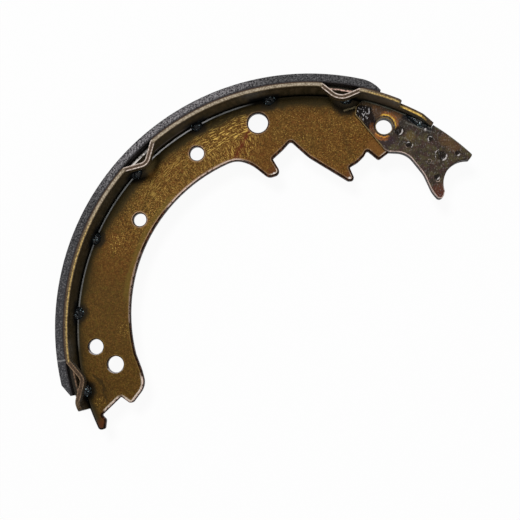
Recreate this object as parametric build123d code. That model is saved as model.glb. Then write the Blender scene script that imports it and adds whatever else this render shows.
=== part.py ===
from build123d import *
import math
import os

# Brake shoe for an 11 x 2 inch drum: a flat stamped web, a rolled rim with lanced edge nibs,
# a bonded friction lining, a reinforcement plate at the anchor end and the weld nuggets.
# Millimetres. The origin is on the drum axis in the web's middle plane, +Z along that axis.
# Angles are in degrees about the drum axis, counted from +X towards +Y.

# Driving dimensions
drum_radius = 139.7          # friction face of the lining
shoe_width = 50.8
lining_thickness = 4.6
rim_thickness = 2.4
web_thickness = 4.6
plate_thickness = 3.2

# Rim
rim_start = 67.0             # end of the full width, towards the anchor
rim_end = 200.7
tongue_start = 58.0          # end of the narrow tongue that runs on over the anchor end
tongue_width = 31.0
tongue_corner = 7.5          # cut off each corner of the tongue
rim_corner_radius = 3.0      # at the ends of the full width

# Lining
lining_start = 72.5
lining_end = 196.7
lining_tip_thickness = 1.2   # what the end chamfers leave
lining_chamfer_start = 4.5   # length of each end chamfer in degrees
lining_chamfer_end = 2.9
lining_chamfer_bulge = 0.8   # the chamfer towards the anchor is slightly rounded

# Nibs: strips lanced from both edges of the rim and bowed in towards the drum axis
nib_strip_width = 7.5
nib_half_angle = 4.8
nib_shoulder_radius = 4.0
nibs = [                     # angle, depth before the crown is rounded, crown radius
    (81.8, 7.2, 7.5),
    (134.9, 7.0, 4.0),
    (193.6, 6.4, 4.0),
]

# Web and plate edges
edge_roll = 1.0              # bevel for the rounding that the punch leaves along the near face
plate_edge_roll = 0.5
hole_roll = 0.5              # the same round the near end of each hole
head_rise = 1.8              # the head's outer edge stands this far above the rim's inner face
head_gap = 0.3               # between the end of the tongue and the head's step
plate_gap = 0.2              # between the plate's upper edge and the rim

# From here on depths, measured inwards from the rim's inner face, and the radii that belong to the
# outline are in percent of the drum radius, so that web and plate follow the drum.

# Anchor seat: a part circle cut in the end of the head, with its ends as angles about its own centre
seat_angle = 41.6
seat_depth = 8.38
seat_radius = 9.59           # a part circle of 13.4 mm
seat_upper_end = 85.0
seat_lower_end = 199.0

# Outline corners: angle, depth, corner radius
head_tip_angle = 45.9
head_tip_radius = 0.86
head_lower_edge = [
    (42.3, 21.26, 1.57),
    (46.9, 20.83, 10.74),
    (52.4, 17.32, 10.74),
    (60.1, 13.82, 8.59),
]
web_inner_edge = [
    (64.9, 16.89, 0.72),     # where the head joins the body
    (66.7, 21.26, 1.07),
    (71.2, 19.26, 0.72),     # lever notch
    (71.5, 21.76, 2.15),
    (72.8, 24.98, 5.73),
    (75.1, 27.92, 0.72),
    (71.7, 32.57, 1.29),
    (74.3, 33.57, 1.29),
    (89.7, 25.77, 17.90),
    (95.2, 18.80, 1.15),     # strut notch
    (98.0, 22.00, 7.16),
    (101.8, 25.00, 0.72),
    (99.7, 31.75, 2.00),
    (104.7, 32.30, 3.00),
    (109.0, 24.98, 14.32),
    (113.0, 20.76, 8.59),
]
crescent = [(116.3, 20.47), (152.5, 20.47), (189.3, 23.69)]
web_adjuster_end = [
    (194.6, 24.80, 21.47),
    (200.2, 24.60, 7.00),
    (204.0, 16.40, 1.70),
    (200.7, 13.53, 0.86),    # adjuster notch
    (203.4, 3.50, 0.60),
    (204.9, 4.40, 1.20),
    (206.9, 2.40, 1.00),     # tip of the finger
    (206.6, 0.00, 1.50),
    (203.6, 0.05, 4.00),
]
plate_left_edge = [
    (66.3, 16.89, 1.07),
    (77.3, 6.66, 1.07),
    (77.4, 3.58, 1.43),
    (76.2, 0.14, 2.15),
]

# Holes through the web: name, angle, depth, and diameter in millimetres
web_holes = {
    "hold_down_hole": (103.7, 9.16, 11.6),
    "spring_hole_a": (122.7, 10.74, 8.2),
    "spring_hole_b": (147.7, 13.39, 7.6),
    "spring_hole_c": (185.6, 7.95, 8.6),
    "spring_hole_d": (191.3, 14.96, 9.4),
}
pivot_hole = (68.9, 7.95, 9.4)   # goes through the plate as well

# Weld nuggets in the corner between web and rim, on both sides of the web
weld_first_angle = 80.4
weld_pitch = 19.2
weld_count = 7
weld_height = 2.5
nugget_half_length = 4.3     # along the rim
nugget_reach = 4.2           # how far it spreads over the web
tongue_bead_angle = 61.8
tongue_bead_half_length = 7.0
tongue_bead_reach = 3.2

# Spot weld dents in the plate: angle and depth of their centres
weld_dents = [(64.4, 7.37), (52.2, 7.73), (73.2, 8.30)]
weld_dent_diameter = 5.4
weld_dent_depth = 0.6
# Smaller stake dents
stake_dents = [(61.0, 11.17), (56.5, 3.79), (48.7, 2.36), (48.2, 15.68), (53.3, 11.95)]
stake_dent_diameter = 3.0
stake_dent_depth = 0.4
stake_slope = 0.3            # bevelled part of its depth
stake_sides = 6

# Worked out
rim_outer = drum_radius - lining_thickness
rim_inner = rim_outer - rim_thickness
head_radius = rim_inner + head_rise
half_width = shoe_width / 2
half_web = web_thickness / 2
plate_top = half_web + plate_thickness
head_step_angle = tongue_start - math.degrees(head_gap / rim_inner)


def polar(radius, angle):
    return Vector(radius * math.cos(math.radians(angle)), radius * math.sin(math.radians(angle)), 0)


def share(percent):
    """Length from its percentage of the drum radius."""
    return drum_radius * percent / 100


def at_depth(angle, depth):
    return polar(rim_inner - share(depth), angle)


def arc(radius, start, end):
    return ThreePointArc(polar(radius, start), polar(radius, (start + end) / 2), polar(radius, end))


def sector(inner, outer, start, end):
    """Flat ring sector between two radii and two angles."""
    edges = [arc(inner, start, end), Line(polar(inner, end), polar(outer, end))]
    edges += [arc(outer, end, start), Line(polar(outer, start), polar(inner, start))]
    return make_face(edges)


def plate_between(face, low, high):
    return extrude(Pos(0, 0, low) * face, amount=high - low, dir=(0, 0, 1))


def rounded(face, corners):
    """Round the corners of a flat outline: each corner is a point and a radius."""
    for point, radius in corners:
        vertex = min(face.vertices(), key=lambda v: (Vector(v) - point).length)
        face = fillet(vertex, radius)
    return face


def corner_points(corners):
    return [(at_depth(angle, depth), share(radius)) for angle, depth, radius in corners]


def rolled(solid, roll):
    """Bevel the outer edge of the near face, where the punch leaves it rounded."""
    near_face = solid.faces().filter_by(Plane.XY).sort_by(Axis.Z)[-1]
    return chamfer(near_face.outer_wire().edges(), roll)


def drill(angle, depth, diameter, near_face):
    """Cutter for a through hole whose edge is bevelled where it meets the near face."""
    bevel = Cone(diameter / 2, diameter / 2 + hole_roll, hole_roll)
    cutter = Cylinder(diameter / 2, 4 * plate_top) + Pos(0, 0, near_face - hole_roll / 2) * bevel
    return Pos(at_depth(angle, depth)) * cutter


# The seat's centre and the two ends of its arc
seat_center = at_depth(seat_angle, seat_depth)


def on_seat(angle):
    return seat_center + polar(share(seat_radius), angle)


def head_outline():
    """The head's edges, shared by web and plate, from its step round the seat to the body."""
    lower = [at_depth(angle, depth) for angle, depth, _ in head_lower_edge]
    seat_middle = (seat_upper_end + seat_lower_end) / 2
    edges = [
        arc(head_radius, head_step_angle, head_tip_angle),
        Line(polar(head_radius, head_tip_angle), on_seat(seat_upper_end)),
        ThreePointArc(on_seat(seat_upper_end), on_seat(seat_middle), on_seat(seat_lower_end)),
        Line(on_seat(seat_lower_end), lower[0]),
    ]
    edges += [Line(a, b) for a, b in zip(lower, lower[1:])]
    corners = [(polar(head_radius, head_tip_angle), share(head_tip_radius))]
    corners += [(on_seat(seat_upper_end), share(head_tip_radius))]
    return edges, corners + corner_points(head_lower_edge)


def edges_through(points):
    return [Line(a, b) for a, b in zip(points, points[1:])]


def make_web():
    """Stamped web: head with the anchor seat, lever and strut notches, crescent, adjuster notch."""
    edges, corners = head_outline()
    crescent_points = [at_depth(angle, depth) for angle, depth in crescent]
    inner = [at_depth(angle, depth) for angle, depth, _ in head_lower_edge[-1:] + web_inner_edge]
    end = [at_depth(angle, depth) for angle, depth, _ in web_adjuster_end]
    rim_foot = polar(rim_inner, rim_end)
    edges += edges_through(inner + crescent_points[:1])
    edges += [ThreePointArc(*crescent_points)]
    edges += edges_through(crescent_points[-1:] + end + [rim_foot])
    edges += [arc(rim_inner, rim_end, head_step_angle)]
    edges += [Line(polar(rim_inner, head_step_angle), polar(head_radius, head_step_angle))]
    corners += corner_points(web_inner_edge + web_adjuster_end)
    outline = rounded(make_face(edges), corners)
    web = rolled(plate_between(outline, -half_web, half_web), edge_roll)
    for hole in web_holes.values():
        web -= drill(*hole, half_web)
    return web - drill(*pivot_hole, plate_top)


def make_plate():
    """Reinforcement plate on the near face of the head, with the head's own outline."""
    edges, corners = head_outline()
    left = [at_depth(angle, depth) for angle, depth, _ in plate_left_edge[:-1]]
    top_left = polar(rim_inner - plate_gap, plate_left_edge[-1][0])
    joint = [at_depth(angle, depth) for angle, depth, _ in head_lower_edge[-1:] + web_inner_edge[:1]]
    edges += edges_through(joint + left + [top_left])
    edges += [arc(rim_inner - plate_gap, plate_left_edge[-1][0], head_step_angle)]
    edges += [Line(polar(rim_inner - plate_gap, head_step_angle), polar(head_radius, head_step_angle))]
    corners += corner_points(plate_left_edge[:-1]) + [(top_left, share(plate_left_edge[-1][2]))]
    outline = rounded(make_face(edges), corners)
    plate = rolled(plate_between(outline, half_web, plate_top), plate_edge_roll)
    plate -= drill(*pivot_hole, plate_top)
    dish = Cone(weld_dent_diameter / 4, weld_dent_diameter / 2, weld_dent_depth)
    dish = Pos(0, 0, -weld_dent_depth / 2) * dish
    stake = extrude(RegularPolygon(stake_dent_diameter / 2, stake_sides), amount=-stake_dent_depth)
    stake = chamfer(stake.faces().sort_by(Axis.Z)[0].edges(), stake_slope)
    for mark, places in ((dish, weld_dents), (stake, stake_dents)):
        for angle, depth in places:
            plate -= Pos(at_depth(angle, depth) + Vector(0, 0, plate_top)) * mark
    return plate


def make_rim():
    """Rolled rim: a band that narrows to a tongue, with its edge strips bowed in at the nibs."""
    core_half = half_width - nib_strip_width
    band = sector(rim_inner, rim_outer, rim_start, rim_end)
    rim = plate_between(band, -core_half, core_half)
    strip = strip_outline()
    rim += plate_between(strip, core_half, half_width)
    rim += plate_between(strip, -half_width, -core_half)
    tongue = sector(rim_inner, rim_outer, tongue_start, rim_start)
    tongue = plate_between(tongue, -tongue_width / 2, tongue_width / 2)
    through_edges = tongue.edges().filter_by(crosses_sheet)
    end_edges = through_edges.sort_by(lambda e: math.atan2(e.center().Y, e.center().X))[:2]
    rim += chamfer(end_edges, tongue_corner)
    corners = rim.edges().filter_by(crosses_sheet).filter_by(lambda e: abs(e.center().Z) > half_width - 0.01)
    return fillet(corners, rim_corner_radius)


def crosses_sheet(edge):
    """True for a straight edge that runs through the rim's thickness."""
    return edge.geom_type == GeomType.LINE and abs(edge.length - rim_thickness) < 0.01


def strip_outline():
    """Edge strip seen along the axis: constant thickness, bowed in at every nib."""
    outer_edges = []
    corners = []
    start = rim_start - 2
    for angle, depth, crown in nibs:
        first = angle - nib_half_angle
        last = angle + nib_half_angle
        apex = polar(rim_outer - depth, angle)
        outer_edges += [arc(rim_outer, start, first)]
        outer_edges += edges_through([polar(rim_outer, first), apex, polar(rim_outer, last)])
        shoulder = nib_shoulder_radius + rim_thickness
        corners += [(polar(rim_outer, first), shoulder), (apex, crown), (polar(rim_outer, last), shoulder)]
        start = last
    outer_edges += [arc(rim_outer, start, rim_end + 2)]
    outer_edges += [Line(polar(rim_outer, rim_end + 2), Vector(0, 0, 0))]
    outer_edges += [Line(Vector(0, 0, 0), polar(rim_outer, rim_start - 2))]
    outer = rounded(make_face(outer_edges), corners)
    inner = offset(outer, -rim_thickness)
    lowest = rim_inner - 2 * max(depth for _, depth, _ in nibs)
    ends = sector(lowest, rim_outer + rim_thickness, rim_start, rim_end)
    return (outer - inner) & ends


def make_lining():
    """Bonded lining with a long chamfer at each end."""
    tip = rim_outer + lining_tip_thickness
    chamfer_from = lining_start + lining_chamfer_start
    chamfer_to = lining_end - lining_chamfer_end
    middle = polar((tip + drum_radius) / 2 + lining_chamfer_bulge, lining_start + lining_chamfer_start / 2)
    edges = [
        arc(rim_outer, lining_start, lining_end),
        Line(polar(rim_outer, lining_end), polar(tip, lining_end)),
        Line(polar(tip, lining_end), polar(drum_radius, chamfer_to)),
        arc(drum_radius, chamfer_to, chamfer_from),
        ThreePointArc(polar(drum_radius, chamfer_from), middle, polar(tip, lining_start)),
        Line(polar(tip, lining_start), polar(rim_outer, lining_start)),
    ]
    return plate_between(make_face(edges), -half_width, half_width)


def make_welds():
    """Nuggets in the corner between the web's faces and the rim's inner face."""
    angles = [weld_first_angle + n * weld_pitch for n in range(weld_count)]
    places = [(angle, side) for angle in angles for side in (1, -1)]
    nuggets = [nugget(angle, 0, side, nugget_half_length, nugget_reach) for angle, side in places]
    for lift, side in ((plate_thickness, 1), (0, -1)):
        nuggets += [nugget(tongue_bead_angle, lift, side, tongue_bead_half_length, tongue_bead_reach)]
    return Compound(children=nuggets)


def nugget(angle, lift, side, half_length, reach):
    """Part of a ball that fills the corner between the rim and a face above the web's middle plane."""
    floor = half_web + lift
    beyond_rim = (half_length ** 2 - reach ** 2) / (2 * reach)
    under_floor = (half_length ** 2 - weld_height ** 2) / (2 * weld_height)
    ball_radius = math.hypot(beyond_rim + reach, under_floor)
    center = polar(rim_inner + beyond_rim, angle) + Vector(0, 0, side * (floor - under_floor))
    corner = Pos(0, 0, side * (floor + weld_height)) * Cylinder(rim_inner, 2 * weld_height)
    ball = Pos(center) * Rot(0, 90, angle) * Sphere(ball_radius)
    return (ball & corner).solid()


os.makedirs("parts", exist_ok=True)
nodes = {
    "web": make_web(),
    "anchor_plate": make_plate(),
    "rim": make_rim(),
    "friction_lining": make_lining(),
    "rim_welds": make_welds(),
}
for name, shape in nodes.items():
    export_step(shape, f"parts/{name}.step")
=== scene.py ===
import math

import bpy
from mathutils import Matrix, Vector


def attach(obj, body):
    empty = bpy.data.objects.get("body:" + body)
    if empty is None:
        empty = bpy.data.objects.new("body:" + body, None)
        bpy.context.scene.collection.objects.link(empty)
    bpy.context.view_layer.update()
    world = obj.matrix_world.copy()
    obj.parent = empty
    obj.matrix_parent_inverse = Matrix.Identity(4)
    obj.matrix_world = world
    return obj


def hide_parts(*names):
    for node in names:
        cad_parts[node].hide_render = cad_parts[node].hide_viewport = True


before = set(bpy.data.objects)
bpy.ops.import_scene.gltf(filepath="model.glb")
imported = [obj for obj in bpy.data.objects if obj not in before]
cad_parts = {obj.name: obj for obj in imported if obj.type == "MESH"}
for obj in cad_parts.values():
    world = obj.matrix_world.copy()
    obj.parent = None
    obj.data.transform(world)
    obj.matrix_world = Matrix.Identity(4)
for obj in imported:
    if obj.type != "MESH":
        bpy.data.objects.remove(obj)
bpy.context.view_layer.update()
bpy.ops.object.select_all(action="DESELECT")

# Brake shoe. The origin is on the drum axis in the web's middle plane, +Z towards the camera.
# Beads, floor and lamps are placed in metres.
MM = 0.001
rim_inner = 132.7 * MM
web_face = 2.3 * MM
plate_face = 5.5 * MM
resting_level = -25.4 * MM

# For the finishes, in millimetres: round holes of the web with their radius, hole through the plate,
# arc of the web's inner edge, joint of web and rim
web_holes = [
    (-28.4, 116.5, 5.8), (-63.6, 99.0, 4.1), (-96.4, 60.9, 3.8), (-121.0, -11.9, 4.3), (-109.6, -21.9, 4.7),
]
pivot_hole = (43.8, 113.4)
crescent_center = (-7.7, 7.85)
crescent_radius = 93.7
joint_radius = 131.5

# Weld beads, in degrees about the drum axis from +X towards +Y
bead_angles = [80.4 + 19.3 * n for n in range(7)]
tongue_bead_angle = 61.8


# ---------------------------------------------------------------- materials

class Finish:
    """Node tree of one finish, painted in layers. Places are in millimetres in the part's own frame."""

    def __init__(self, name):
        self.material = bpy.data.materials.new(name)
        self.material.use_nodes = True
        self.tree = self.material.node_tree
        self.tree.nodes.clear()
        coords = self.add("ShaderNodeTexCoord").outputs["Object"]
        self.place = self.vector("MULTIPLY", coords, (1 / MM, 1 / MM, 1 / MM))
        self.x, self.y, self.z = self.split(self.place)
        self.facing = self.add("ShaderNodeNewGeometry").outputs["Normal"]
        self.up = self.split(self.facing)[2]
        self.radius = self.hypotenuse(self.x, self.y)
        turned = self.math("ARCTAN2", self.product(self.y, -1.0), self.product(self.x, -1.0))
        self.angle = self.sum(self.product(turned, 180 / math.pi), 180.0)
        self.color = None

    # Nodes

    def add(self, kind, **settings):
        node = self.tree.nodes.new(kind)
        for key, value in settings.items():
            setattr(node, key, value)
        return node

    def join(self, socket, value):
        if isinstance(value, bpy.types.NodeSocket):
            self.tree.links.new(socket, value)
        elif isinstance(value, tuple) and len(value) == 3 and len(socket.default_value) == 4:
            socket.default_value = (*value, 1)
        else:
            socket.default_value = value

    def math(self, operation, a, b=0.0):
        node = self.add("ShaderNodeMath", operation=operation)
        self.join(node.inputs[0], a)
        self.join(node.inputs[1], b)
        return node.outputs[0]

    def vector(self, operation, a, b):
        node = self.add("ShaderNodeVectorMath", operation=operation)
        self.join(node.inputs[0], a)
        self.join(node.inputs[1], b)
        return node.outputs["Value" if operation == "DOT_PRODUCT" else "Vector"]

    def split(self, vector):
        node = self.add("ShaderNodeSeparateXYZ")
        self.join(node.inputs[0], vector)
        return list(node.outputs)

    def chain(self, operation, values):
        result = values[0]
        for value in values[1:]:
            result = self.math(operation, result, value)
        return result

    def sum(self, *values):
        return self.chain("ADD", values)

    def product(self, *values):
        return self.chain("MULTIPLY", values)

    def hypotenuse(self, a, b):
        return self.math("SQRT", self.sum(self.product(a, a), self.product(b, b)))

    # Masks, from 0 to 1

    def either(self, *masks):
        """At each point the strongest of the masks."""
        return self.chain("MAXIMUM", masks)

    def inverse(self, mask):
        return self.math("SUBTRACT", 1.0, mask)

    def step(self, value, low, high):
        """Smooth step from 0 at `low` to 1 at `high`; works downwards too."""
        node = self.add("ShaderNodeMapRange", interpolation_type="SMOOTHSTEP")
        at_least, at_most = (1.0, 0.0) if low > high else (0.0, 1.0)
        self.join(node.inputs["Value"], value)
        self.join(node.inputs["From Min"], min(low, high))
        self.join(node.inputs["From Max"], max(low, high))
        self.join(node.inputs["To Min"], at_least)
        self.join(node.inputs["To Max"], at_most)
        return node.outputs["Result"]

    def ring(self, value, middle, half_width, soft):
        """1 where `value` lies within `half_width` of `middle`."""
        off = self.math("ABSOLUTE", self.math("SUBTRACT", value, middle))
        return self.step(off, half_width + soft, half_width)

    def away(self, x, y):
        """Distance in the sheet's plane from a point."""
        return self.hypotenuse(self.sum(self.x, -x), self.sum(self.y, -y))

    def towards(self, x, y, heading):
        """Distance from a point counted in one direction, which is given in degrees."""
        heading = math.radians(heading)
        return self.sum(self.product(self.sum(self.x, -x), math.cos(heading)),
                        self.product(self.sum(self.y, -y), math.sin(heading)))

    def spot(self, x, y, size, soft, ragged=None):
        """Round spot; `ragged` is the grain and the amount by which its edge wanders."""
        away = self.away(x, y)
        if ragged:
            away = self.sum(away, self.wobble(*ragged))
        return self.step(away, size + soft, size)

    def spots(self, *rows):
        """Spots as one mask; each row is x, y, size, soft and, where it isn't 1, the strength."""
        return self.either(*[self.product(self.spot(*row[:4]), *row[4:]) for row in rows])

    def streak(self, start, end, half_width, soft, ragged):
        """1 along a straight line between two points."""
        length = math.dist(start, end)
        heading = math.degrees(math.atan2(end[1] - start[1], end[0] - start[0]))
        along = self.towards(*start, heading)
        across = self.sum(self.towards(*start, heading + 90), self.wobble(*ragged))
        on_line = self.product(self.step(along, 0, soft), self.step(along, length, length - soft))
        return self.product(on_line, self.ring(across, 0, half_width, soft))

    def glint(self, x, y, size, heading, half_width):
        """Painted highlight: a thin pale crescent on one side of a dent; `heading` says which side."""
        on_side = self.step(self.towards(x, y, heading), 0.45 * size, 0.8 * size)
        return self.product(self.ring(self.away(x, y), size, half_width, 0.3), on_side)

    def near_edge(self, reach, flat, sharp):
        """1 beside an edge of the metal, 0 further than `reach` from it."""
        blunt = self.add("ShaderNodeBevel", samples=8)
        blunt.inputs["Radius"].default_value = reach * MM
        return self.step(self.vector("DOT_PRODUCT", blunt.outputs["Normal"], self.facing), flat, sharp)

    def rolled_edge(self):
        """1 on the bevel at 45 degrees that stands for the punch's rounding."""
        return self.ring(self.up, 0.707, 0.12, 0.08)

    def cut_wall(self):
        """1 on the walls through the thickness of the sheet."""
        return self.step(self.math("ABSOLUTE", self.up), 0.45, 0.25)

    def weld_soot(self, size, soft):
        """Soot round each bead on the joint of web and rim."""
        ragged = self.wobble(3, 3)
        around = []
        for angle in bead_angles:
            turn = math.radians(angle)
            away = self.away(joint_radius * math.cos(turn), joint_radius * math.sin(turn))
            around.append(self.step(self.sum(away, ragged), size + soft, size))
        return self.either(*around)

    # Noise

    def clouds(self, place, grain, detail, roughness):
        node = self.add("ShaderNodeTexNoise")
        self.join(node.inputs["Vector"], place)
        self.join(node.inputs["Scale"], 1.0 / grain)
        self.join(node.inputs["Detail"], detail)
        self.join(node.inputs["Roughness"], roughness)
        return node.outputs["Fac"]

    def noise(self, grain, detail, roughness=0.55, stretch=(1.0, 1.0, 1.0)):
        """Noise from 0 to 1 whose lumps are about `grain` millimetres across."""
        return self.clouds(self.vector("MULTIPLY", self.place, stretch), grain, detail, roughness)

    def strokes(self, along, across):
        """Fine strokes that follow the curve of the band; the factors squeeze them along it and across."""
        band_radius = 120
        arc_per_degree = band_radius * math.pi / 180
        flat = self.add("ShaderNodeCombineXYZ")
        self.join(flat.inputs[0], self.product(self.angle, arc_per_degree * along))
        self.join(flat.inputs[1], self.product(self.radius, across))
        self.join(flat.inputs[2], self.z)
        return self.clouds(flat.outputs[0], 0.85, 0.7, 0.4)

    def wobble(self, grain, amount):
        """Irregular offset in millimetres, for edges of stains."""
        return self.product(self.sum(self.noise(grain, 2), -0.5), amount)

    # Colour and surface

    def mix(self, mask, a, b):
        node = self.add("ShaderNodeMix", data_type="RGBA")
        self.join(node.inputs["Factor"], mask)
        self.join(node.inputs[6], a)
        self.join(node.inputs[7], b)
        return node.outputs[2]

    def paint(self, color, *masks):
        """Lay a colour over what is there, as strongly as the masks say when multiplied."""
        self.color = self.mix(self.product(*masks), self.color, color)

    def bump(self, height, depth, strength, below=None):
        """Bump from a 0 to 1 height, `depth` in millimetres, on top of another."""
        node = self.add("ShaderNodeBump")
        node.inputs["Strength"].default_value = strength
        node.inputs["Distance"].default_value = depth * MM
        self.join(node.inputs["Height"], height)
        if below:
            self.join(node.inputs["Normal"], below)
        return node.outputs["Normal"]

    def surface(self, roughness, relief, **constants):
        shader = self.add("ShaderNodeBsdfPrincipled")
        self.join(shader.inputs["Base Color"], self.color)
        self.join(shader.inputs["Roughness"], roughness)
        self.join(shader.inputs["Normal"], relief)
        for name, value in constants.items():
            self.join(shader.inputs[name.replace("_", " ")], value)
        output = self.add("ShaderNodeOutputMaterial")
        self.join(output.inputs["Surface"], shader.outputs["BSDF"])
        return self.material


def web_finish():
    f = Finish("web_oiled_phosphate")
    fine = f.noise(0.85, 3, 0.75)
    # Broad olive and brown areas, darker down the left arm to the adjuster end
    f.color = f.mix(f.step(f.noise(22, 3), 0.35, 0.65), (0.102, 0.036, 0.0048), (0.096, 0.044, 0.0070))
    f.paint((0.128, 0.030, 0.004), f.spot(-41, 100, 3, 8, (5, 5)), 0.5)
    f.paint((0.076, 0.036, 0.0068), f.step(f.angle, 146, 172))
    f.paint((0.066, 0.030, 0.0045), f.step(f.angle, 180, 192))
    f.paint((0.112, 0.036, 0.0050), f.spot(-110, 39, 5, 16, (8, 8)), 0.45)

    # Dark, reddish, olive and golden grain, calm on the left arm and lively between the holes
    calm = f.step(f.angle, 152, 170)
    lively = f.ring(f.angle, 134, 16, 10)
    f.paint((0.030, 0.0115, 0.0012), f.step(fine, 0.47, 0.39),
            f.sum(0.80, f.product(calm, -0.34), f.product(lively, 0.20)))
    f.paint((0.135, 0.040, 0.008), f.step(f.noise(1.7, 2), 0.52, 0.66), f.sum(0.55, f.product(calm, -0.35)))
    f.paint((0.100, 0.068, 0.0090), f.step(f.noise(2.3, 3, 0.65), 0.50, 0.62),
            f.sum(0.12, f.product(f.step(f.angle, 104, 116), 0.25)))
    f.paint((0.215, 0.108, 0.024), f.step(fine, 0.53, 0.60),
            f.sum(0.66, f.product(calm, -0.26), f.product(lively, 0.34)))

    # Painted glints: golden strokes, along the curve and lower down across it, and loose golden flecks
    upper_strokes = f.step(f.strokes(0.24, 1.5), 0.58, 0.67)
    lower_strokes = f.product(f.step(f.strokes(1.5, 0.24), 0.59, 0.68), 0.7)
    strokes = f.mix(f.step(f.radius, 116, 112), upper_strokes, lower_strokes)
    glint_flecks = f.step(f.noise(0.62, 1, 0.6), 0.61, 0.69)
    thick = f.either(f.spots((-46, 111, 12, 14), (-72, 78, 12, 18, 0.45)), 0.04)
    loose = f.spots((6, 110, 22, 20, 0.45), (-84, 64, 7, 9, 0.9), (-108, 47, 3, 7, 0.9), (-105, -2, 2, 4, 0.6))
    loose = f.either(loose, f.product(lively, 0.55), f.product(thick, 0.8), f.sum(0.20, f.product(calm, -0.14)))
    f.paint((0.64, 0.41, 0.095), f.either(f.product(strokes, thick), f.product(glint_flecks, loose)))

    # Marks on the near side only: orange spot under the middle nib, olive stripe along the crescent (a painted
    # highlight), reddish streak from the hold-down hole to the inner edge, dark diagonal and brown patch by the
    # plate
    unmarked = f.color
    f.paint((0.27, 0.120, 0.025), f.spot(-89.5, 87.5, 0.8, 2.6, (2, 3)), 0.85)
    # Painted highlight: a lighter olive stripe inside the crescent's edge, where its rounding meets the light
    from_crescent = f.sum(f.away(*crescent_center), -crescent_radius, f.wobble(6, 2.4))
    f.paint((0.140, 0.098, 0.018), f.ring(from_crescent, 2.6, 0.3, 2.2), f.ring(f.angle, 154, 14, 8), 0.5)
    broken = f.step(f.noise(1.5, 2, 0.6), 0.38, 0.56)
    f.paint((0.110, 0.009, 0.005), f.streak((-33.0, 113.5), (-42.0, 94.0), 0.3, 0.8, (2.2, 2.6)),
            f.sum(0.32, f.product(broken, 0.56)))
    f.paint((0.085, 0.012, 0.004), f.streak((-34.0, 112.0), (-42.5, 93.5), 0.8, 2.2, (3, 3)),
            f.sum(0.20, f.product(broken, 0.25)))
    f.paint((0.060, 0.006, 0.004), f.streak((-23.5, 124.2), (-32.0, 123.0), 0.6, 1.6, (2, 2)), 0.7)
    f.paint((0.026, 0.014, 0.004), f.streak((18.5, 114), (25.5, 96.5), 0.2, 2.2, (4, 4)), 0.42)
    f.paint((0.20, 0.080, 0.020), f.streak((34, 106), (48, 94), 1.2, 3.5, (4, 2)), 0.5)
    f.color = f.mix(f.step(f.z, 0, 1), unmarked, f.color)

    # Painted shadow of the rim with soot: a dark olive band along it, narrower down the left arm and lighter
    # right at the joint; soot round the beads
    narrower = f.sum(f.product(f.step(f.angle, 148, 158), -2.2), f.product(f.step(f.angle, 168, 182), -1.6))
    off_rim = f.sum(f.radius, f.wobble(9, 3.5), narrower)
    f.paint((0.020, 0.0150, 0.0040), f.step(off_rim, 120, 127), 0.48)
    f.paint((0.013, 0.0115, 0.0044), f.step(off_rim, 124.2, 127.6), 0.86)
    f.paint((0.042, 0.034, 0.020), f.step(f.radius, 130.0, 131.5), 0.75)
    # Soot round the beads and beside the second bead; under the first nib, soot together with the nib's painted
    # shadow
    soot = f.either(f.weld_soot(4.4, 2.8), f.streak((-33.0, 128.4), (-20.0, 130.4), 1.5, 1.8, (3, 2)),
                    f.spot(21.8, 126.8, 5.0, 4.0, (3, 3)))
    f.paint((0.0025, 0.003, 0.0035), soot, 0.95)

    # Adjuster end: dark veins and a patch of golden flecks, which are painted glints. Reddish ends of the tabs.
    # Tan streak by the plate, a painted reflection
    veins = f.either(f.streak((-122.5, -27), (-113.5, -38), 0.15, 1.0, (5, 6)),
                     f.streak((-118.5, -32), (-113.5, -44), 0.15, 1.0, (4, 5)),
                     f.product(f.spot(-117, -36, 2, 8), 0.35))
    f.paint((0.016, 0.010, 0.003), veins, 0.75)
    f.paint((0.42, 0.25, 0.05), f.spot(-118.5, -43, 1, 4, (3, 3)), glint_flecks)
    f.paint((0.095, 0.022, 0.008), f.spots((-116.5, -57, 2, 4), (-19, 87, 2, 4), (24.5, 84, 2, 4)), 0.6)
    # Painted reflection: a tan streak by the plate, brightest at its right end
    f.paint((0.46, 0.38, 0.22), f.streak((20.5, 122.9), (28.5, 125.2), 0.08, 0.70, (2.4, 1.2)),
            f.sum(0.45, f.product(f.spot(27.6, 125.0, 1.5, 2.5), 0.45)))

    # Painted highlight: a blue-grey line on the web's rounded edge at the joint with the rim, brightest between
    # the second and third beads
    lumpy = f.step(f.noise(4, 3, 0.6), 0.30, 0.55)
    joint = f.ring(f.sum(f.radius, f.wobble(7, 0.3)), joint_radius - 0.05, 0.34, 0.32)
    shown = f.sum(f.product(f.step(f.angle, 103, 109), 0.78), f.product(f.ring(f.angle, 126, 9, 4), 0.60),
                  f.product(f.step(f.angle, 150, 158), -0.40), f.product(f.step(f.angle, 172, 180), -0.18))
    joint_highlight = f.mix(f.ring(f.angle, 126, 8, 4), (0.62, 0.64, 0.64), (1.0, 1.0, 1.0))
    f.paint(joint_highlight, joint, shown, f.step(f.angle, 187, 183), f.sum(0.60, f.product(lumpy, 0.4)))

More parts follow.
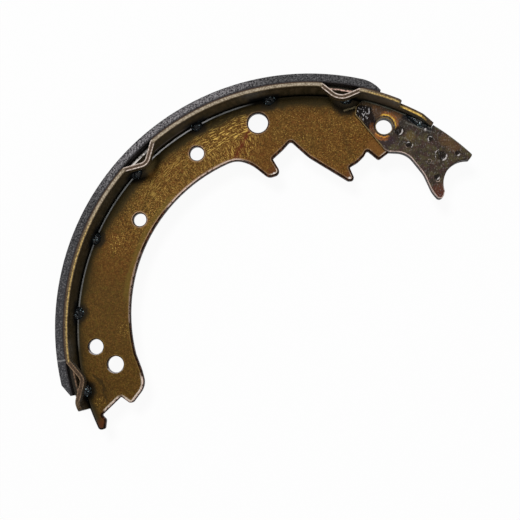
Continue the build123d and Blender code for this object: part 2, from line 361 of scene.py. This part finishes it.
    # Painted highlight: a warm line just inside the rolled edges, pale on the adjuster tab and the tips; dark
    # on the head
    inside = f.step(f.radius, 127, 125)
    tab = f.spots((-96, -38, 8, 4), (-110, -46, 5, 3))
    tips = f.spots((-18, 86.5, 2.5, 2), (24, 84, 1.5, 2, 0.5), (44, 97.5, 2.0, 2, 0.8))
    warm = f.mix(f.step(f.angle, 166, 174), (0.48, 0.32, 0.21), (0.21, 0.135, 0.040))
    line = f.mix(f.either(tab, tips), warm, (0.78, 0.68, 0.56))
    shine = f.sum(0.30, f.product(lumpy, 0.55))
    f.paint(line, f.near_edge(1.3, 0.999, 0.975), inside, f.either(shine, tab, tips))
    head = f.product(f.step(f.angle, 112, 108), f.inverse(tips))
    f.paint((0.024, 0.009, 0.004), f.near_edge(0.8, 0.9995, 0.985), inside, head, 0.8)
    # Painted highlights: white glints at the two hook tips
    f.paint((0.85, 0.76, 0.70), f.spots((-19.0, 87.0, 0.35, 0.7), (24.1, 84.1, 0.35, 0.7)), 0.9)

    # Rolled edges are brown-black with rubbed places; on the crescent and the adjuster tab, bare metal with a
    # painted highlight
    torn = f.noise(1.6, 3, 0.6, stretch=(1, 1, 0.4))
    rolled = f.rolled_edge()
    worn = f.mix(f.step(torn, 0.50, 0.68), (0.013, 0.004, 0.002), (0.105, 0.036, 0.016))
    bare_and_highlight = f.mix(f.step(torn, 0.34, 0.52), (0.12, 0.062, 0.040), (0.74, 0.57, 0.48))
    crescent = f.either(f.product(f.step(f.angle, 109, 114), f.step(f.angle, 142, 138)),
                        f.product(f.ring(f.angle, 168, 10, 3), 0.35))
    by_hole = f.spots(*[(x, y, size + 1, 1) for x, y, size in web_holes])
    bare_and_highlight_part = f.either(f.product(crescent, f.inverse(by_hole)), tab)
    f.paint(f.mix(f.product(bare_and_highlight_part, f.step(f.z, 1.6, 1.9)), worn, bare_and_highlight), rolled)
    # Painted shade: the rolled edge in the groove beside the rim is near black
    f.paint((0.0035, 0.0035, 0.003), rolled, f.step(f.radius, 128, 130))
    # Cut walls, with a lit lower side in the two holes of the left arm
    wall = f.cut_wall()
    f.paint(f.mix(f.step(torn, 0.45, 0.68), (0.007, 0.004, 0.003), (0.060, 0.018, 0.010)), wall)
    lit_side = f.either(*[f.product(f.spot(x, y, size + 0.6, 0.2), f.step(f.y, y - 0.4 * size, y - 0.7 * size))
                          for x, y, size in web_holes[3:]])
    f.paint((0.40, 0.37, 0.38), lit_side, f.either(rolled, wall))
    relief = f.bump(fine, 0.16, 0.8, f.bump(f.noise(7, 2), 0.25, 0.3))
    return f.surface(f.sum(0.42, f.product(fine, 0.2)), relief,
                     Specular_IOR_Level=0.12, Specular_Tint=(1.0, 0.72, 0.38))


def plate_finish():
    f = Finish("plate_heat_tinted_steel")
    fine = f.noise(0.78, 3, 0.75)
    # Purple and olive mottle, olive brown towards the body
    f.color = f.mix(f.step(f.noise(6, 3, 0.6), 0.38, 0.62), (0.017, 0.0125, 0.0080), (0.054, 0.037, 0.018))
    f.paint((0.044, 0.015, 0.017), f.step(f.noise(2.2, 3, 0.65), 0.50, 0.58), 0.70)
    f.paint((0.060, 0.056, 0.018), f.step(f.noise(3.0, 3, 0.65), 0.52, 0.60), 0.65)
    f.paint((0.060, 0.034, 0.010), f.step(f.sum(f.angle, f.wobble(6, 3)), 66, 71), 0.8)
    f.paint((0.110, 0.044, 0.010), f.spot(39.8, 122.0, 2.4, 3.0, (3, 3)), 0.9)

    # Sooty blotch between the edge and the hole, dark and purple round the hole
    blotch = f.either(f.streak((27.0, 122.5), (37.5, 121.0), 2.6, 1.6, (2.4, 3.0)),
                      f.streak((33.5, 122.0), (37.0, 111.5), 2.6, 1.6, (2.4, 3.0)))
    f.paint((0.0035, 0.003, 0.004), blotch)
    f.paint((0.016, 0.009, 0.008), f.ring(f.sum(f.away(*pivot_hole), f.wobble(3, 3)), 8.5, 1.5, 3.0), 0.55)
    f.paint((0.018, 0.006, 0.010), f.spot(42.5, 103.2, 2, 4.5, (3, 3)), 0.9)
    f.paint((0.012, 0.010, 0.011), f.spot(55.0, 114.5, 2, 4.5, (3, 3)), 0.75)
    f.paint((0.016, 0.004, 0.016), f.spot(47.5, 105.5, 1.2, 1.8, (2, 2)), 0.85)

    # Straw, brown and rust patches
    f.paint((0.115, 0.078, 0.020), f.spot(58.5, 107, 1.0, 3.5, (2, 3)), 0.75)
    f.paint((0.110, 0.048, 0.015), f.streak((74, 108), (88, 98), 1.0, 4, (3, 4)), 0.6)
    f.paint((0.120, 0.048, 0.013), f.spot(50.5, 119.5, 2.0, 3, (2, 3)), 0.8)
    f.paint((0.082, 0.013, 0.005), f.spot(74.5, 74.5, 3.0, 4, (3, 3)), 0.85)

    # Temper colours round the hole: orange outside, straw yellow, then a dark line at the hole
    from_hole = f.sum(f.away(*pivot_hole), f.wobble(1.8, 1.5))
    upper = f.either(f.spot(47.2, 119.3, 3.2, 3.0, (2, 2)), f.product(f.spot(51.5, 114.5, 1.5, 3), 0.8))
    lower = f.spot(42.0, 106.8, 3.0, 2.4, (2, 2))
    left = f.product(f.spot(37.0, 112.0, 1.5, 2.5, (2, 2)), 0.5)
    flaky = f.sum(0.45, f.product(f.step(f.noise(1.3, 2, 0.6), 0.40, 0.56), 0.55))
    f.paint((0.27, 0.085, 0.012), f.ring(from_hole, 7.3, 0.8, 0.8), f.either(upper, lower, left), flaky)
    f.paint((0.85, 0.52, 0.065), f.ring(from_hole, 6.5, 0.15, 0.55), upper, flaky)
    f.paint((0.66, 0.28, 0.035), f.ring(from_hole, 6.3, 0.20, 0.5), lower, flaky)
    f.paint((0.012, 0.006, 0.010), f.ring(from_hole, 5.3, 0.35, 0.4), 0.9)

    # Blue-black scale along the tongue's weld, with a paler lower rim
    weld = f.streak((54.5, 121.0), (72.0, 111.0), 2.2, 1.6, (3, 2))
    f.paint((0.005, 0.007, 0.012), weld, 0.95)
    f.paint((0.17, 0.165, 0.15), f.streak((55.5, 115.6), (71.0, 109.4), 0.1, 0.7, (3, 1.6)), 0.5)

    # Dents: dark hollows, and painted highlights as broken pale crescents beside them
    hollows = f.spots((52.0, 110.6, 2.1, 0.8), (76.6, 96.0, 2.3, 0.8, 0.85), (57.4, 103.0, 1.4, 0.8),
                      (69.8, 106.3, 1.5, 0.9), (69.3, 93.0, 1.4, 0.8, 0.5), (85.2, 97.4, 1.3, 0.7),
                      (73.6, 83.8, 1.5, 0.8))
    f.paint((0.006, 0.005, 0.006), hollows, 0.9)
    crescents = [
        (52.0, 110.6, 2.1, -30, 0.25), (76.6, 96.0, 2.3, -35, 0.25), (75.8, 96.6, 3.3, 165, 0.0),
        (57.4, 103.0, 0.9, 100, 0.1), (58.8, 102.2, 1.0, -20, 0.1), (69.8, 106.3, 1.0, 80, 0.1),
        (69.6, 105.6, 1.0, 190, 0.1), (85.2, 97.4, 1.2, -60, 0.2), (73.6, 83.8, 0.9, -40, 0.3),
    ]
    glints = f.either(*[f.glint(*crescent) for crescent in crescents], f.spot(67.2, 111.2, 0.3, 0.7))
    f.paint((0.70, 0.65, 0.63), glints, f.sum(0.15, f.product(f.step(f.noise(1.1, 2), 0.36, 0.50), 0.75)))

    # Bare specks, thickest in the blotch, and a dark and a light grain
    specks = f.step(f.noise(0.95, 1, 0.6, stretch=(1.2, 0.7, 1)), 0.60, 0.66)
    in_blotch = f.product(blotch, f.spot(32.4, 121.6, 3.8, 1.6))
    f.paint((0.52, 0.50, 0.50), specks, f.sum(0.16, f.product(blotch, -0.10), f.product(in_blotch, 0.85)))
    f.paint((0.012, 0.009, 0.007), f.step(fine, 0.48, 0.39), 0.64)
    f.paint((0.135, 0.105, 0.070), f.step(fine, 0.53, 0.62), f.sum(0.28, f.product(blotch, -0.25)))

    # Painted highlight: a greenish line on the plate's edge where it meets the rim
    at_rim = f.ring(f.sum(f.radius, f.wobble(6, 0.3)), 132.2, 0.35, 0.35)
    f.paint((0.17, 0.18, 0.14), at_rim, f.step(f.angle, 64.5, 66), 0.8)
    # Rolled edge: painted highlight, pale along the body and the lower side and greenish at the top; dark round
    # the seat
    edge = f.mix(f.step(f.angle, 64, 68), (0.60, 0.46, 0.40), (0.25, 0.18, 0.075))
    edge = f.mix(f.step(f.radius, 129.5, 130.5), edge, (0.17, 0.175, 0.14))
    edge = f.mix(f.spot(93.0, 82.6, 15.5, 2.0), edge, (0.020, 0.010, 0.008))
    lumpy = f.sum(0.50, f.product(f.step(f.noise(3, 3), 0.35, 0.58), 0.5))
    f.paint(edge, f.rolled_edge(), f.inverse(hollows), lumpy)
    f.paint((0.006, 0.003, 0.003), f.cut_wall())
    rough = f.sum(0.36, f.product(fine, 0.2), f.product(f.either(blotch, hollows, weld), 0.30))
    relief = f.bump(fine, 0.14, 0.8, f.bump(f.noise(4, 2), 0.3, 0.4))
    return f.surface(rough, relief, Specular_IOR_Level=0.12, Specular_Tint=(1.0, 0.86, 0.72))


def rim_finish():
    f = Finish("rim_dark_oil_and_bare_edges")
    fine = f.noise(1.0, 3, 0.7)
    # Inner wall: drips of oil across it, painted shade in a band near each edge, lighter beside the plate,
    # a short pale line near the second bead
    drips = f.noise(2.6, 3, 0.6, stretch=(1, 1, 0.12))
    off_middle = f.math("ABSOLUTE", f.z)
    f.color = f.mix(f.step(drips, 0.35, 0.65), (0.034, 0.027, 0.0125), (0.080, 0.058, 0.030))
    f.paint((0.034, 0.029, 0.0145), f.step(f.angle, 104, 140), 0.45)
    f.paint((0.008, 0.004, 0.003), f.step(f.angle, 189, 192), 0.6)
    f.paint((0.012, 0.007, 0.0025), f.ring(off_middle, 21.6, 0.7, 1.7), 0.62)
    f.paint((0.110, 0.088, 0.064), f.step(f.angle, 78, 74), 0.6)
    f.paint((0.22, 0.19, 0.18), f.ring(off_middle, 6.0, 0.3, 0.7), f.ring(f.angle, 127, 8, 3), 0.8)
    # Painted shade: black in the corner with the web and under the plate; soot round the beads
    f.paint((0.005, 0.004, 0.003), f.step(off_middle, 5.2, 4.4), 0.6)
    f.paint((0.005, 0.005, 0.004), f.step(off_middle, 9.5, 7.5), f.step(f.angle, 78, 75), 0.85)
    soot = f.either(f.weld_soot(5.2, 3.2), f.spot(-26.5, 130.0, 5.5, 3.5, (3, 3)))
    f.paint((0.004, 0.005, 0.006), soot, f.step(f.sum(off_middle, f.wobble(3, 6)), 16, 6))
    wall = f.color

    # Bare edge, from radius 132.7 inside to 135.1 outside: a cream band over the top,
    # on both sides a golden inner line beside a brown band
    streaky = f.step(f.noise(0.9, 3, 0.65), 0.32, 0.68)

    def streaks(dark, light):
        return f.mix(streaky, dark, light)

    brown = streaks((0.030, 0.018, 0.009), (0.15, 0.105, 0.055))
    band = f.product(f.step(f.radius, 132.85, 133.15), f.step(f.radius, 134.6, 134.3))
    cream = f.mix(band, brown, streaks((0.14, 0.105, 0.070), (0.47, 0.40, 0.30)))
    inner_line = f.ring(f.radius, f.sum(133.4, f.wobble(5, 0.3)), 0.22, 0.32)
    gold = f.mix(inner_line, brown, streaks((0.17, 0.094, 0.024), (0.60, 0.43, 0.15)))
    side = f.either(f.step(f.sum(f.angle, f.wobble(9, 10)), 148, 160), f.step(f.angle, 79, 73))
    f.color = f.mix(side, cream, gold)
    f.paint((0.036, 0.014, 0.010), f.step(f.sum(f.radius, f.wobble(4, 0.3)), 134.5, 134.75))
    f.paint(streaks((0.020, 0.010, 0.006), (0.13, 0.085, 0.045)), f.step(f.angle, 196.5, 198))

    # Tongue: golden stripe between dark borders, brown at its end
    tongue = f.step(f.z, 17, 16)
    stripe = f.product(f.ring(f.radius, 133.45, 0.36, 0.25), f.step(f.angle, 59.6, 60.6))
    f.paint(f.mix(stripe, streaks((0.014, 0.008, 0.005), (0.10, 0.055, 0.022)),
                  streaks((0.34, 0.19, 0.03), (0.86, 0.60, 0.15))), tongue)

    # Nibs: pale torn lines on both sides of the bowed strip, duller at the lowest nib
    low_nib = f.step(f.angle, 170, 180)
    on_strip = f.step(f.z, 23, 24)
    by_nib = f.either(f.ring(f.angle, 81.8, 4.2, 0.7), f.ring(f.angle, 134.9, 4.4, 0.7),
                      f.ring(f.angle, 193.6, 4.4, 0.7))
    pale = streaks(f.mix(low_nib, (0.30, 0.22, 0.17), (0.06, 0.035, 0.02)),
                   f.mix(low_nib, (0.80, 0.69, 0.62), (0.27, 0.18, 0.11)))
    core = streaks((0.016, 0.007, 0.004), (0.085, 0.046, 0.027))
    f.paint(f.mix(f.near_edge(1.2, 0.999, 0.975), core, pale), by_nib, on_strip)
    # Painted shade: the cut edge in the slit behind each strip is dark, with a broken pale line along its inner
    # side, wider at the middle nib
    in_slit = f.product(f.inverse(on_strip), f.inverse(tongue))
    f.paint((0.006, 0.005, 0.005), in_slit)
    wider = f.product(f.ring(f.angle, 134.9, 5, 1), -0.35)
    torn_line = f.step(f.sum(f.radius, wider, f.wobble(2, 0.5)), 133.7, 133.3)
    bright = f.mix(f.step(f.angle, 90, 84), (0.88, 0.84, 0.80), (0.84, 0.55, 0.45))
    f.paint(f.mix(low_nib, bright, (0.22, 0.13, 0.08)), torn_line, in_slit,
            f.sum(0.25, f.product(f.step(f.noise(1.4, 2), 0.42, 0.55), 0.75)))
    f.color = f.mix(f.step(f.math("ABSOLUTE", f.up), 0.55, 0.8), wall, f.color)
    relief = f.bump(fine, 0.12, 0.8, f.bump(drips, 0.2, 0.3))
    return f.surface(f.sum(0.45, f.product(fine, 0.2)), relief,
                     Specular_IOR_Level=0.25, Specular_Tint=(1.0, 0.85, 0.62))


def lining_finish():
    f = Finish("lining_pressed_friction_material")
    grain = f.noise(0.85, 2, 0.7)
    # Dark and light grain with chips, with a painted highlight that makes it paler over the upper left
    painted_sheen = f.product(f.ring(f.angle, 124, 12, 16), f.ring(f.radius, 137.7, 0.8, 1.6))
    dark = f.mix(painted_sheen, (0.010, 0.010, 0.011), (0.018, 0.017, 0.019))
    light = f.mix(painted_sheen, (0.080, 0.078, 0.081), (0.22, 0.205, 0.215))
    f.color = f.mix(f.step(grain, 0.40, 0.60), dark, light)
    f.paint((0.038, 0.037, 0.041), f.step(f.angle, 155, 172), 0.6)
    f.paint((0.36, 0.35, 0.355), f.step(f.noise(0.9, 1), 0.55, 0.62), f.sum(0.22, f.product(painted_sheen, 0.40)))
    # Dark line of adhesive beside the rim, pale line across the lining near its lower end
    f.paint((0.016, 0.012, 0.013), f.step(f.radius, 136.1, 135.5), 0.7)
    f.paint((0.30, 0.29, 0.28), f.ring(f.sum(f.angle, f.wobble(3, 0.3)), 188.3, 0.12, 0.12), 0.5)
    return f.surface(0.8, f.bump(grain, 0.25, 0.8), Specular_IOR_Level=0.2)


def weld_finish():
    f = Finish("weld_scale")
    grain = f.noise(0.9, 3, 0.6)
    # Blue-black scale with bluish glints
    f.color = f.mix(f.step(grain, 0.48, 0.70), (0.0018, 0.0022, 0.0030), (0.009, 0.020, 0.027))
    f.paint((0.30, 0.42, 0.45), f.step(f.noise(1.1, 1), 0.66, 0.71))
    return f.surface(0.25, f.bump(grain, 0.3, 0.9), Specular_IOR_Level=0.35)


def dress(node_name, material):
    """Give every face of a CAD node one material."""
    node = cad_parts[node_name]
    node.data.materials.clear()
    node.data.materials.append(material)


weld_scale = weld_finish()
dress("web", web_finish())
dress("anchor_plate", plate_finish())
dress("rim", rim_finish())
dress("friction_lining", lining_finish())
dress("rim_welds", weld_scale)


# ---------------------------------------------------------------- weld beads

def bead_blank(name, sheet_level, half_length, reach, height):
    """Quarter of a flattened ball in the corner between rim and sheet, at the +X side of the ring.

    The ball starts with a radius of 1 mm, so half length, reach and height are its radii in millimetres.
    """
    corner = (rim_inner - 0.4 * MM, 0, sheet_level)
    sunk = 0.05 * MM
    bpy.ops.mesh.primitive_uv_sphere_add(segments=40, ring_count=24, radius=MM, location=corner)
    bead = bpy.context.object
    bead.name = name
    bpy.ops.object.transform_apply(location=True)
    bpy.ops.object.mode_set(mode="EDIT")
    bpy.ops.mesh.select_all(action="SELECT")
    bpy.ops.transform.resize(value=(reach, half_length, height), center_override=corner)
    bpy.ops.mesh.bisect(plane_co=(rim_inner + sunk, 0, 0), plane_no=(1, 0, 0), use_fill=True, clear_outer=True)
    bpy.ops.mesh.select_all(action="SELECT")
    bpy.ops.mesh.bisect(plane_co=(0, 0, sheet_level - sunk), plane_no=(0, 0, 1), use_fill=True,
                        clear_inner=True)
    # The two flat cuts become triangles while they are still flat, so the lumps can't fold them
    bpy.ops.mesh.select_all(action="SELECT")
    bpy.ops.mesh.remove_doubles(threshold=0.01 * MM)
    bpy.ops.mesh.quads_convert_to_tris(quad_method="BEAUTY", ngon_method="BEAUTY")
    bpy.ops.object.mode_set(mode="OBJECT")
    return bead


def place_bead(blank, angle, side):
    """Copy of a bead at this angle on the near side, 1, or far side, -1, with its own lumps."""
    bpy.ops.object.select_all(action="DESELECT")
    blank.select_set(True)
    bpy.context.view_layer.objects.active = blank
    bpy.ops.object.duplicate()
    bead = bpy.context.object
    bpy.ops.object.mode_set(mode="EDIT")
    bpy.ops.mesh.select_all(action="SELECT")
    if side < 0:
        bpy.ops.transform.resize(value=(1, 1, -1), center_override=(0, 0, 0))
        bpy.ops.mesh.normals_make_consistent(inside=False)
    # Without a window this operator turns clockwise
    bpy.ops.transform.rotate(value=-math.radians(angle), orient_axis="Z", center_override=(0, 0, 0))
    bpy.ops.object.mode_set(mode="OBJECT")
    lumps = bead.modifiers.new("lumps", "DISPLACE")
    lumps.texture = spatter
    lumps.texture_coords = "GLOBAL"
    lumps.strength = 1.3 * MM
    lumps.mid_level = 0.62
    bpy.ops.object.modifier_apply(modifier="lumps")
    return bead


spatter = bpy.data.textures.new("weld_lumps", "CLOUDS")
spatter.noise_scale = 1.9 * MM
spatter.noise_depth = 1

web_bead = bead_blank("web_bead", web_face, 4.0, 4.0, 2.8)
plate_bead = bead_blank("plate_bead", plate_face, 7.0, 3.0, 2.3)
back_bead = bead_blank("back_bead", web_face, 6.0, 3.0, 2.3)
beads = [place_bead(web_bead, angle, side) for angle in bead_angles for side in (1, -1)]
beads += [place_bead(plate_bead, tongue_bead_angle, 1), place_bead(back_bead, tongue_bead_angle, -1)]
bpy.ops.object.select_all(action="DESELECT")
for blank in (web_bead, plate_bead, back_bead):
    blank.select_set(True)
bpy.ops.object.delete()
for bead in beads:
    bead.select_set(True)
bpy.context.view_layer.objects.active = beads[0]
bpy.ops.object.join()
weld_beads = bpy.context.object
weld_beads.name = "weld_beads"
weld_beads.data.materials.append(weld_scale)
bpy.ops.object.shade_smooth_by_angle(angle=math.radians(50))
bpy.ops.object.select_all(action="DESELECT")
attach(weld_beads, "root")
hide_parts("rim_welds")


# ---------------------------------------------------------------- floor, light and camera

def floor_finish():
    """White floor that keeps the object's shadow and looks white to the camera and in reflections."""
    material = bpy.data.materials.new("studio_white")
    material.use_nodes = True
    tree = material.node_tree
    tree.nodes.clear()
    lit = tree.nodes.new("ShaderNodeBsdfDiffuse")
    lit.inputs["Color"].default_value = (0.85, 0.85, 0.85, 1)
    white = tree.nodes.new("ShaderNodeEmission")
    white.inputs["Strength"].default_value = 1.0
    rays = tree.nodes.new("ShaderNodeLightPath")
    seen = tree.nodes.new("ShaderNodeMath")
    seen.operation = "MAXIMUM"
    tree.links.new(seen.inputs[0], rays.outputs["Is Camera Ray"])
    tree.links.new(seen.inputs[1], rays.outputs["Is Glossy Ray"])
    white_share = tree.nodes.new("ShaderNodeMath")
    white_share.operation = "MULTIPLY"
    white_share.inputs[1].default_value = 0.94
    tree.links.new(white_share.inputs[0], seen.outputs[0])
    blend = tree.nodes.new("ShaderNodeMixShader")
    tree.links.new(blend.inputs[0], white_share.outputs[0])
    tree.links.new(blend.inputs[1], lit.outputs[0])
    tree.links.new(blend.inputs[2], white.outputs[0])
    output = tree.nodes.new("ShaderNodeOutputMaterial")
    tree.links.new(output.inputs["Surface"], blend.outputs[0])
    return material


def softbox(name, place, size, power):
    """Square studio lamp that faces the object."""
    bpy.ops.object.light_add(type="AREA", location=place)
    lamp = bpy.context.object
    lamp.name = name
    lamp.data.size = size
    lamp.data.energy = power
    lamp.rotation_euler = Vector(place).to_track_quat("Z", "Y").to_euler()


bpy.ops.mesh.primitive_plane_add(size=14, location=(0, 0, resting_level))
floor = bpy.context.object
floor.name = "floor"
bpy.ops.object.transform_apply(location=True)
floor.data.materials.append(floor_finish())

softbox("key_light", (-0.17, 0.31, 1.15), 0.22, 9.5)
softbox("front_fill", (0.45, -0.75, 1.15), 1.0, 3.5)

world = bpy.data.worlds.new("studio")
bpy.context.scene.world = world
world.use_nodes = True
sky = world.node_tree.nodes["Background"]
sky.inputs["Color"].default_value = (1, 1, 1, 1)
sky.inputs["Strength"].default_value = 0.22

# Viewpoint of the photo, solved from the near and far outlines of lining, rim and holes
camera_data = bpy.data.cameras.new("camera")
camera_data.lens = 85.76
camera_data.sensor_width = 36
camera = bpy.data.objects.new("camera", camera_data)
bpy.context.collection.objects.link(camera)
camera.location = (6.93 * MM, -14.56 * MM, 705.84 * MM)
camera.rotation_euler = (0.0736, 0.0484, 0)
bpy.context.scene.camera = camera
bpy.context.scene.view_settings.view_transform = "Standard"
